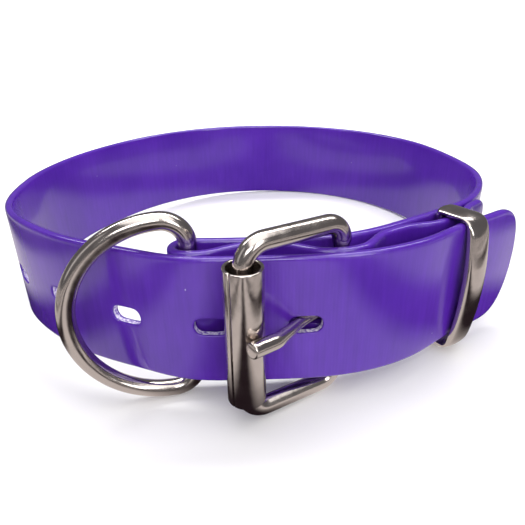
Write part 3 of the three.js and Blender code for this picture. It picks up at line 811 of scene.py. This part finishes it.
def round_end(verts, inner, towards, outline):
    """Pulls a square strip end into an outline, given from the block's inner middle: most at its rim."""
    half = max(height for _, height in outline)
    length = max(along for along, _ in outline)
    turns = [math.atan2(height, along) for along, height in outline]
    reach = [math.hypot(along, height) for along, height in outline]
    for vert in verts:
        along, height = (vert.co.x - inner) * towards, vert.co.y
        rim = max(abs(along) / length, abs(height) / half)
        if along <= 0 or rim < TINY:
            continue
        square = math.hypot(along, height) / rim
        pull = np.interp(math.atan2(abs(height), along), turns, reach) / square
        share = 1 + (pull - 1) * rim**3
        vert.co.x = inner + along * share * towards
        vert.co.y = height * share


def tip_outline(strap):
    """The tip's outline from its end block's inner middle, apex first."""
    half = strap.width / 2
    t = np.linspace(0, 1, OUTLINE_POINTS)
    along = 3 * (1 - t) * t**2 * strap.tip_length * TIP_SIDE_HANDLE + t**3 * strap.tip_length
    height = 3 * (1 - t) ** 2 * t * half * TIP_APEX_HANDLE + 3 * (1 - t) * t**2 * half + t**3 * half
    rim = [(END_BLOCK - a, h) for a, h in zip(along, height)]
    return rim + [(a, half) for a in np.linspace(rim[-1][0], 0, SIDE_POINTS)[1:]]


def corner_outline(strap):
    """The turn-back's end with its round corners, from its end block's inner middle."""
    half = strap.width / 2
    r = TURN_BACK_CORNER
    turns = np.linspace(0, math.pi / 2, CORNER_POINTS)
    corner = [(END_BLOCK - r + r * math.cos(turn), half - r + r * math.sin(turn)) for turn in turns]
    rim = [(END_BLOCK, h) for h in np.linspace(0, half - r, SIDE_POINTS)[:-1]]
    return rim + corner + [(a, half) for a in np.linspace(END_BLOCK - r, 0, SIDE_POINTS)[1:]]


def cut_opening(bm, opening, rows):
    """Insets a window of faces in the flat strip, shapes the inset's rim to an oblong and clears it."""
    window = [
        face for face in bm.faces
        if abs(face.calc_center_median().x - opening.distance) < opening.reach
        and abs(face.calc_center_median().y) < rows
    ]
    bmesh.ops.inset_region(bm, faces=window, thickness=WINDOW_INSET)
    rim = {vert for face in window for vert in face.verts}
    rim = [vert for vert in rim if any(face not in window for face in vert.link_faces)]
    straight = opening.half_length - opening.half_width
    for vert in rim:
        turn = math.atan2(vert.co.y / rows, (vert.co.x - opening.distance) / opening.reach)

        # A point in the middle of a long side belongs to neither round end
        side = math.copysign(straight, math.cos(turn)) if abs(math.cos(turn)) > 0.01 else 0
        vert.co.x = opening.distance + opening.half_width * math.cos(turn) + side
        vert.co.y = opening.height + opening.half_width * math.sin(turn)
    bmesh.ops.delete(bm, geom=window, context="FACES")


def flat_strap(plan, openings):
    """A flat sheet as long as the strap, X along it and Y across, with its openings and ends cut."""
    strap = plan.strap
    columns = strap_columns(plan, openings)
    rows = [share * strap.width / 2 for share in STRAP_ROWS]
    bm = bmesh.new()
    bmesh.ops.create_grid(bm, x_segments=len(columns) - 1, y_segments=len(rows) - 1, size=0.5)
    for vert in bm.verts:
        column = round((vert.co.x + 0.5) * (len(columns) - 1))
        row = round((vert.co.y + 0.5) * (len(rows) - 1))
        vert.co = (columns[column], rows[row], 0)
    for opening in openings:
        cut_opening(bm, opening, WINDOW_ROWS * strap.width / 2)
    round_end([v for v in bm.verts if v.co.x < END_BLOCK], END_BLOCK, -1, tip_outline(strap))
    end = plan.length - END_BLOCK
    round_end([v for v in bm.verts if v.co.x > end], end, 1, corner_outline(strap))
    return bm


def in_opening(face, openings):
    """Whether a wall face lies on the rim of one of the openings."""
    centre = face.calc_center_median()
    return any(
        abs(centre.x - opening.distance) < opening.half_length + TINY
        and abs(centre.y - opening.height) < opening.half_width + TINY
        for opening in openings
    )


def is_rim(edge):
    """Whether an edge of the thick, flat strap lies between a level face and a wall."""
    if len(edge.link_faces) != 2:
        return False
    one, other = (face.normal for face in edge.link_faces)
    return abs(one.dot(other)) < 0.5 and abs(edge.verts[0].co.z - edge.verts[1].co.z) < TINY


def thicken_strap(bm, strap, openings):
    """Gives the flat sheet its thickness, round edges outside and sharper ones at the openings."""
    made = bmesh.ops.extrude_face_region(bm, geom=bm.faces[:], use_keep_orig=True)["geom"]
    top = [item for item in made if isinstance(item, bmesh.types.BMVert)]
    bmesh.ops.translate(bm, verts=top, vec=(0, 0, strap.thickness))
    bmesh.ops.translate(bm, verts=bm.verts, vec=(0, 0, -strap.thickness / 2))
    bmesh.ops.recalc_face_normals(bm, faces=bm.faces)
    inside = {face for face in bm.faces if abs(face.normal.z) < 0.5 and in_opening(face, openings)}
    punched = [opening for opening in openings if opening.punched]
    for face in inside:
        face.material_index = 1 if in_opening(face, punched) else 0
    rims = [edge for edge in bm.edges if is_rim(edge)]
    inner_rims = [edge for edge in rims if any(face in inside for face in edge.link_faces)]
    outer_rims = [edge for edge in rims if edge not in inner_rims]
    bmesh.ops.bevel(
        bm, geom=inner_rims, offset=HOLE_EDGE_RADIUS, segments=2, profile=0.5, affect="EDGES",
        material=0,
    )
    bmesh.ops.bevel(
        bm, geom=outer_rims, offset=strap.edge_radius, segments=3, profile=0.5, affect="EDGES",
        material=0,
    )


class COLLAR_OT_strap(bpy.types.Operator):
    """Make the strap: a flat strip with its openings, wrapped along the collar's line"""

    bl_idname = "collar.strap"
    bl_label = "Strap"

    def execute(self, context):
        plan = current_plan(context)
        openings = strap_openings(plan)
        bm = flat_strap(plan, openings)
        thicken_strap(bm, plan.strap, openings)

        # The flat places become the strap's UV map, before the strip is wrapped
        uv = bm.loops.layers.uv.new("strap")
        for face in bm.faces:
            for loop in face.loops:
                loop[uv].uv = loop.vert.co.xy
        flat = np.array([vert.co for vert in bm.verts])
        wrapped = plan.at(flat[:, 0], flat[:, 2])
        for vert, (x, y), (_, height, _) in zip(bm.verts, wrapped, flat):
            vert.co = (x, y, plan.strap.width / 2 + height)

        finish = context.scene.collar_finish
        materials = [
            material_for("coated_webbing", coated_webbing, finish),
            material_for("webbing_core", webbing_core, finish),
        ]
        piece = finish_piece(
            bm, "strap_webbing", collar_matrix(plan), materials, "collar", "strap"
        )
        rounding = piece.modifiers.new("rounding", "SUBSURF")
        rounding.levels = 1
        rounding.render_levels = 1
        return {"FINISHED"}


class COLLAR_OT_ring(bpy.types.Operator):
    """Make the D-ring: one bent wire whose ends meet on its bar, inside the strap's fold"""

    bl_idname = "collar.ring"
    bl_label = "D-ring"

    def execute(self, context):
        plan = current_plan(context)
        metal = plan.metal
        r = metal.ring_corner
        half = metal.ring_half_height
        straight = half - r

        # The bar's rows keep clear of its seam and of the corners
        near, far = straight * 0.2, straight * 0.95
        points = np.vstack([
            [[0, 0, RING_SEAM / 2]],
            bar(0, near, far, BAR_POINTS),
            arc(-r, straight, r, r, 0, 90, RING_CORNER_STEPS),
            arc(-r, 0, metal.ring_reach - r, half, 90, 270, RING_BOW_STEPS)[1:],
            arc(-r, -straight, r, r, 270, 360, RING_CORNER_STEPS)[1:],
            bar(0, -far, -near, BAR_POINTS),
            [[0, 0, -RING_SEAM / 2]],
        ])
        bm = bmesh.new()
        section = ring_section(bm, WIRE_SIDES)
        sweep(bm, section, wire_places(points, [metal.ring_wire / 2] * len(points), (0, 1, 0)), False)
        cap_ends(bm, RING_END_ROUND)
        place = plan.upright(plan.place(0, plan.ring_bar)[0], metal.ring_swing)
        finish_metal(bm, "lead_ring", plan, place, "ring", "d_ring")
        return {"FINISHED"}


def buckle_matrix(plan):
    """The buckle's place, its middle at the roller, X to the heel bar and Z along the bars, and its reach."""
    roller = plan.place(ROLLER_STATION, plan.roller)[0]
    heel = plan.place(HEEL_BAR_STATION, plan.heel_bar)[0]
    turn = math.atan2(heel[1] - roller[1], heel[0] - roller[0])
    return plan.upright(roller, turn), float(np.linalg.norm(heel - roller))


class COLLAR_OT_buckle_frame(bpy.types.Operator):
    """Make the buckle's frame: one wire bent round, thinner where the tongue turns on it"""

    bl_idname = "collar.buckle_frame"
    bl_label = "Buckle Frame"

    def execute(self, context):
        plan = current_plan(context)
        metal = plan.metal
        place, reach = buckle_matrix(plan)
        a, b, h = metal.frame_outer_bend, metal.frame_inner_bend, metal.frame_half_height
        neck = h - b
        count = FRAME_BAR_POINTS
        points = np.vstack([
            bar(reach, 0, neck, count)[:-1],
            arc(reach - b, h - b, b, b, 0, 90, FRAME_BEND_STEPS),
            arc(a, h - a, a, a, 90, 180, FRAME_BEND_STEPS),
            [[0, 0, (h - a) * share] for share in (0.7, 0.35, 0, -0.35, -0.7)],
            arc(a, a - h, a, a, 180, 270, FRAME_BEND_STEPS),
            arc(reach - b, b - h, b, b, 270, 360, FRAME_BEND_STEPS),
            bar(reach, -neck, 0, count)[1:-1],
        ])
        thin = metal.heel_bar / metal.frame_wire
        swell = np.clip((np.abs(points[:, 2]) - neck + FRAME_NECK) / FRAME_NECK, 0, 1)
        radii = np.where(points[:, 0] > reach - TINY, thin + (1 - thin) * swell, 1) * metal.frame_wire / 2
        bm = bmesh.new()
        section = ring_section(bm, WIRE_SIDES)
        sweep(bm, section, wire_places(points, radii, (0, 1, 0)), True)
        finish_metal(bm, "buckle_wire", plan, place, "collar", "buckle_frame")
        return {"FINISHED"}


class COLLAR_OT_roller(bpy.types.Operator):
    """Make the roller: a strip of sheet rolled into a tube, with its seam left open by a hair"""

    bl_idname = "collar.roller"
    bl_label = "Roller"

    def execute(self, context):
        plan = current_plan(context)
        metal = plan.metal
        half = plan.strap.width / 2 + metal.roller_overhang
        outer = metal.roller_diameter / 2
        inner = outer - metal.roller_wall
        seam = ROLLER_SEAM / outer
        bm = bmesh.new()
        corners = [(inner, -half), (outer, -half), (outer, half), (inner, half)]
        bm.faces.new([bm.verts.new((x, 0, z)) for x, z in corners])
        bmesh.ops.bevel(
            bm, geom=bm.verts[:], offset=ROLLER_EDGE_ROUND, segments=3, profile=0.5, affect="VERTICES",
            material=-1,
        )
        bmesh.ops.rotate(bm, verts=bm.verts, cent=(0, 0, 0), matrix=Matrix.Rotation(seam / 2, 3, "Z"))
        bmesh.ops.spin(
            bm, geom=bm.faces[:], cent=(0, 0, 0), axis=(0, 0, 1), angle=2 * math.pi - seam,
            steps=ROLLER_STEPS, use_merge=False,
        )
        place, _ = buckle_matrix(plan)
        facing = Matrix.Rotation(math.radians(ROLLER_SEAM_TURN), 4, "Z")
        finish_metal(bm, "roller_tube", plan, place @ facing, "roller", "roller")
        return {"FINISHED"}


def tongue_line(plan, heel, bore):
    """Points along the tongue's middle, from its eye to its tip, and the wire's radius at each."""
    metal = plan.metal
    middle = plan.strap.width / 2
    roller = plan.place(ROLLER_STATION, plan.roller)[0]
    across = plan.heading(ROLLER_STATION) - math.pi / 2

    # The straight end touches the roller halfway between its elbow and its tip
    half_turn = math.radians((TONGUE_TIP_TURN - TONGUE_ELBOW_TURN) / 2)
    rest = (metal.roller_diameter / 2 + LAYER_GAP + metal.tongue_tip / 2) / math.cos(half_turn)

    def round_roller(degrees):
        turn = across + math.radians(90 - degrees)
        return roller + rest * np.array([math.cos(turn), math.sin(turn)])

    # Through the hole a little off its middle, then a soft bend to the elbow
    hole = plan.at([plan.strap.tip_to_first_hole + metal.tongue_wire * 0.15])[0]
    elbow = np.array([*round_roller(TONGUE_ELBOW_TURN), middle + metal.tongue_rise / 2])
    tip = np.array([*round_roller(TONGUE_TIP_TURN), middle + metal.tongue_rise])
    towards = (hole - heel) / np.linalg.norm(hole - heel)
    start = np.array([*(heel + towards * (bore + metal.tongue_eye_wall / 2)), middle])
    through = np.array([*hole, middle])
    near = np.array([*(hole + (elbow[:2] - hole) * 0.6), middle + metal.tongue_rise * 0.3])
    shank = spaced(smooth_curve([start, through, near, elbow], False, SHANK_POINTS), SHANK_STEPS)
    end = elbow + (tip - elbow) * np.linspace(0, 1, TIP_POINTS)[1:, None]
    points = np.vstack([shank, end])
    travel = travel_along(points) - travel_along(shank)[-1]
    thin, thick = metal.tongue_wire / 2, metal.tongue_tip / 2
    sizes = (thin, thin * TONGUE_SHANK_SWELL, thick * TONGUE_ELBOW_SWELL, thick)
    return points, np.interp(travel, TONGUE_SWELL, sizes)


class COLLAR_OT_tongue(bpy.types.Operator):
    """Make the tongue: an eye round the heel bar, a shank through the hole and a blunt end on the roller"""

    bl_idname = "collar.tongue"
    bl_label = "Tongue"

    def execute(self, context):
        plan = current_plan(context)
        wall = plan.metal.tongue_eye_wall
        bore = plan.metal.heel_bar / 2 + LAYER_GAP
        heel = plan.place(HEEL_BAR_STATION, plan.heel_bar)[0]

        # The eye: its wall's section, spun round the heel bar
        bm = bmesh.new()
        half = TONGUE_EYE_HEIGHT / 2
        corners = ((bore, -half), (bore + wall, -half), (bore + wall, half), (bore, half))
        verts = [bm.verts.new((x, 0, z)) for x, z in corners]
        bm.faces.new(verts)
        bmesh.ops.bevel(
            bm, geom=verts, offset=TONGUE_EYE_ROUND, segments=2, profile=0.5, affect="VERTICES", material=-1
        )
        spin_round(bm, bm.edges[:])
        section = [face for face in bm.faces if len(face.verts) > 4]
        bmesh.ops.delete(bm, geom=section, context="FACES_ONLY")
        bmesh.ops.translate(bm, verts=bm.verts, vec=(*heel, plan.strap.width / 2))

        # The shank, swept from the eye's wall
        points, radii = tongue_line(plan, heel, bore)
        section = ring_section(bm, TONGUE_SIDES)
        sweep(bm, section, wire_places(points, radii, (0, 0, 1)), False)
        cap_ends(bm, TONGUE_TIP_ROUND)
        finish_metal(bm, "buckle_tongue", plan, Matrix.Identity(4), "collar", "tongue")
        return {"FINISHED"}


def band_outline(x0, x1, half, back, front, bow):
    """The keeper's outline, x outwards from the loop and y up, with as many points whatever its size."""
    straight = half - front
    reach = 2 * bow
    turn = x1 - reach * front / straight
    t = np.linspace(0, 1, BAND_POINTS)[:-1, None]

    def bend(a, b, c):
        return (1 - t) ** 2 * a + 2 * (1 - t) * t * b + t**2 * c

    def line(a, b):
        return a + (b - a) * t

    p = [np.array(pair, float) for pair in (
        (x0 + back, -half), (x1 - front, -half), (turn, -half), (x1, -straight), (x1 + reach, 0),
        (x1, straight), (turn, half), (x1 - front, half), (x0 + back, half), (x0, half), (x0, half - back),
        (x0, back - half), (x0, -half),
    )]
    return np.vstack([
        line(p[0], p[1]), bend(p[1], p[2], p[3]), bend(p[3], p[4], p[5]), bend(p[5], p[6], p[7]),
        line(p[7], p[8]), bend(p[8], p[9], p[10]), line(p[10], p[11]), bend(p[11], p[12], p[0]),
    ])


class COLLAR_OT_keeper(bpy.types.Operator):
    """Make the keeper: a band with a half-round outside, hanging on the strap's upper edge"""

    bl_idname = "collar.keeper"
    bl_label = "Keeper"

    def execute(self, context):
        plan = current_plan(context)
        metal = plan.metal
        inside = plan.keeper_bar + metal.keeper_thickness / 2
        outside = plan.billet_at_keeper + plan.half + LAYER_GAP
        half = plan.strap.width / 2 + KEEPER_END_CLEARANCE
        bow = metal.keeper_bow
        inner = band_outline(inside, outside, half, KEEPER_BACK_CORNER, KEEPER_INNER_CORNER, bow)
        outer = band_outline(
            inside - metal.keeper_thickness, outside + metal.keeper_front, half + metal.keeper_end,
            KEEPER_INNER_CORNER, KEEPER_OUTER_CORNER, bow,
        )
        places = []
        for low, high in zip(inner, outer):
            thick = Vector((*(high - low), 0)) / 2
            wide = Vector((0, 0, metal.keeper_width / 2))
            middle = Vector((*(high + low) / 2, 0))
            along = thick.cross(wide).normalized() * metal.keeper_end
            turn = Matrix((thick, wide, along)).transposed().to_4x4()
            places.append(Matrix.Translation(middle) @ turn)
        bm = bmesh.new()
        section = ring_section(bm, BAND_SIDES)
        for vert in bm.verts:
            # Half-round towards the outside, flat with small round corners on the inside
            power = 1 if vert.co.x > 0 else KEEPER_INSIDE_POWER
            vert.co.xy = [math.copysign(abs(value) ** power, value) for value in vert.co.xy]
        sweep(bm, section, places, True)
        x, y = plan.place(KEEPER_STATION, 0)[0]
        drop = KEEPER_END_CLEARANCE - LAYER_GAP
        heading = Matrix.Rotation(plan.heading(KEEPER_STATION) - math.pi / 2, 4, "Z")
        upright = Matrix.Rotation(math.pi / 2, 4, "X")
        place = Matrix.Translation((x, y, plan.strap.width / 2 - drop)) @ (heading @ upright)
        finish_metal(bm, "keeper_band", plan, place, "collar", "keeper")
        return {"FINISHED"}


class COLLAR_OT_rivets(bpy.types.Operator):
    """Make the three rivets that hold the turn-back to the strap"""

    bl_idname = "collar.rivets"
    bl_label = "Rivets"

    def execute(self, context):
        plan = current_plan(context)
        grip = (plan.layer + plan.strap.thickness) / 2 + LAYER_GAP
        head = plan.metal.rivet_head / 2
        shank = RIVET_SHANK / 2
        turns = np.linspace(0, RIVET_DOME_TURN, RIVET_DOME_POINTS)
        dome = [(head * math.cos(turn), grip + RIVET_HEAD_HEIGHT * math.sin(turn)) for turn in turns]
        base = [(head * RIVET_HEAD_BASE, grip), (shank, grip)]
        side = [(0, grip + RIVET_HEAD_HEIGHT), *reversed(dome), *base]
        profile = side + [(x, -y) for x, y in reversed(side)]
        names = ("rivet_ring", "rivet_buckle", "rivet_keeper")
        for name, station in zip(names, rivet_stations(plan.metal)):
            bm = bmesh.new()
            verts = [bm.verts.new((x, 0, z)) for x, z in profile]
            spin_round(bm, [bm.edges.new(pair) for pair in zip(verts, verts[1:])])
            place = plan.upright(plan.place(station, plan.layer / 2)[0], plan.heading(station))
            outwards = Matrix.Rotation(math.pi / 2, 4, "X")
            finish_metal(bm, name + "_domed", plan, place @ outwards, "collar", name)
        return {"FINISHED"}


def add_softbox(name, location, target, size, power):
    """A square soft light that faces a place."""
    light = bpy.data.lights.new(name, "AREA")
    light.shape = "RECTANGLE"
    light.size, light.size_y = size
    light.energy = power
    lamp = bpy.data.objects.new(name, light)
    lamp.location = location
    lamp.rotation_euler = (Vector(target) - Vector(location)).to_track_quat("-Z", "Y").to_euler()
    bpy.context.scene.collection.objects.link(lamp)


def add_backdrop(bm):
    """A round sheet of paper that curves up to a quarter turn all round."""
    bmesh.ops.create_circle(bm, cap_ends=True, radius=BACKDROP_DISTANCE, segments=BACKDROP_SIDES)
    rim = bm.edges[:]
    for step in range(BACKDROP_STEPS):
        turn = math.pi / 2 * (step + 1) / BACKDROP_STEPS
        made = bmesh.ops.extrude_edge_only(bm, edges=rim)["geom"]
        raised = {item for item in made if isinstance(item, bmesh.types.BMVert)}
        for vert in raised:
            reach = vert.co.xy.normalized() * BACKDROP_DISTANCE * (1 + math.sin(turn))
            vert.co = (*reach, BACKDROP_DISTANCE * (1 - math.cos(turn)))
        edges = [item for item in made if isinstance(item, bmesh.types.BMEdge)]
        rim = [edge for edge in edges if raised.issuperset(edge.verts)]
    for face in bm.faces:
        face.smooth = True


def stage_sheet(bm, name, material):
    """Puts a finished sheet of the stage into the scene."""
    mesh = bpy.data.meshes.new(name)
    bm.to_mesh(mesh)
    bm.free()
    mesh.materials.append(material)
    sheet = bpy.data.objects.new(name, mesh)
    bpy.context.scene.collection.objects.link(sheet)
    return sheet


class COLLAR_OT_stage(bpy.types.Operator):
    """Set the stage: a paper floor, soft lights and the camera at the photograph's angle"""

    bl_idname = "collar.stage"
    bl_label = "Stage"

    def execute(self, context):
        plan = current_plan(context)
        bm = bmesh.new()
        add_backdrop(bm)
        floor = stage_sheet(bm, "paper_floor", studio_paper())

        # What the metal and the coat mirror in place of the white paper: a glowing card below it, painted
        # with dark and pale reflection streaks
        floor.visible_glossy = False
        bm = bmesh.new()
        bmesh.ops.create_grid(bm, x_segments=1, y_segments=1, size=REFLECTION_CARD_SIZE)
        bmesh.ops.translate(bm, verts=bm.verts, vec=(0, 0, -REFLECTION_CARD_DEPTH))
        stage_sheet(bm, "painted_reflection_card", painted_reflection_card())

        world = bpy.data.worlds.new("studio")
        world.use_nodes = True
        background = world.node_tree.nodes["Background"]
        background.inputs["Color"].default_value = linear(WORLD_COLOUR)
        background.inputs["Strength"].default_value = WORLD_STRENGTH
        context.scene.world = world
        context.scene.view_settings.view_transform = "Standard"

        for softbox in SOFTBOXES:
            add_softbox(*softbox)

        lens = bpy.data.cameras.new("photo_camera")
        lens.sensor_width = 36
        lens.lens = CAMERA_LENS
        lens.clip_start = 0.01
        camera = bpy.data.objects.new("photo_camera", lens)
        pitch = Matrix.Rotation(math.radians(90 - CAMERA_PITCH), 4, "X")
        roll = Matrix.Rotation(math.radians(CAMERA_ROLL), 4, "Z")
        camera.matrix_world = collar_matrix(plan) @ Matrix.Translation(CAMERA_PLACE) @ (pitch @ roll)
        context.scene.collection.objects.link(camera)
        context.scene.camera = camera
        return {"FINISHED"}


class COLLAR_PT_panel(bpy.types.Panel):
    """The collar's pieces, in the order in which they are made"""

    bl_label = "Dog Collar"
    bl_idname = "COLLAR_PT_panel"
    bl_space_type = "VIEW_3D"
    bl_region_type = "UI"
    bl_category = "Collar"

    def draw(self, context):
        layout = self.layout
        for group in ("collar_strap", "collar_metal", "collar_finish"):
            settings = getattr(context.scene, group)
            box = layout.box()
            for name in settings.bl_rna.properties.keys():
                if name not in ("rna_type", "name"):
                    box.prop(settings, name)
        for operator in OPERATORS:
            layout.operator(operator.bl_idname)


GROUPS = (CollarStrapSizes, CollarMetalSizes, CollarFinish)
OPERATORS = (
    COLLAR_OT_strap,
    COLLAR_OT_ring,
    COLLAR_OT_buckle_frame,
    COLLAR_OT_roller,
    COLLAR_OT_tongue,
    COLLAR_OT_keeper,
    COLLAR_OT_rivets,
    COLLAR_OT_stage,
)


def register():
    for cls in (*GROUPS, *OPERATORS, COLLAR_PT_panel):
        bpy.utils.register_class(cls)
    bpy.types.Scene.collar_strap = PointerProperty(type=CollarStrapSizes)
    bpy.types.Scene.collar_metal = PointerProperty(type=CollarMetalSizes)
    bpy.types.Scene.collar_finish = PointerProperty(type=CollarFinish)


def unregister():
    del bpy.types.Scene.collar_finish
    del bpy.types.Scene.collar_metal
    del bpy.types.Scene.collar_strap
    for cls in reversed((*GROUPS, *OPERATORS, COLLAR_PT_panel)):
        bpy.utils.unregister_class(cls)


def main():
    register()
    bpy.ops.collar.strap()
    bpy.ops.collar.ring()
    bpy.ops.collar.buckle_frame()
    bpy.ops.collar.roller()
    bpy.ops.collar.tongue()
    bpy.ops.collar.keeper()
    bpy.ops.collar.rivets()
    bpy.ops.collar.stage()


if __name__ == "__main__":
    main()
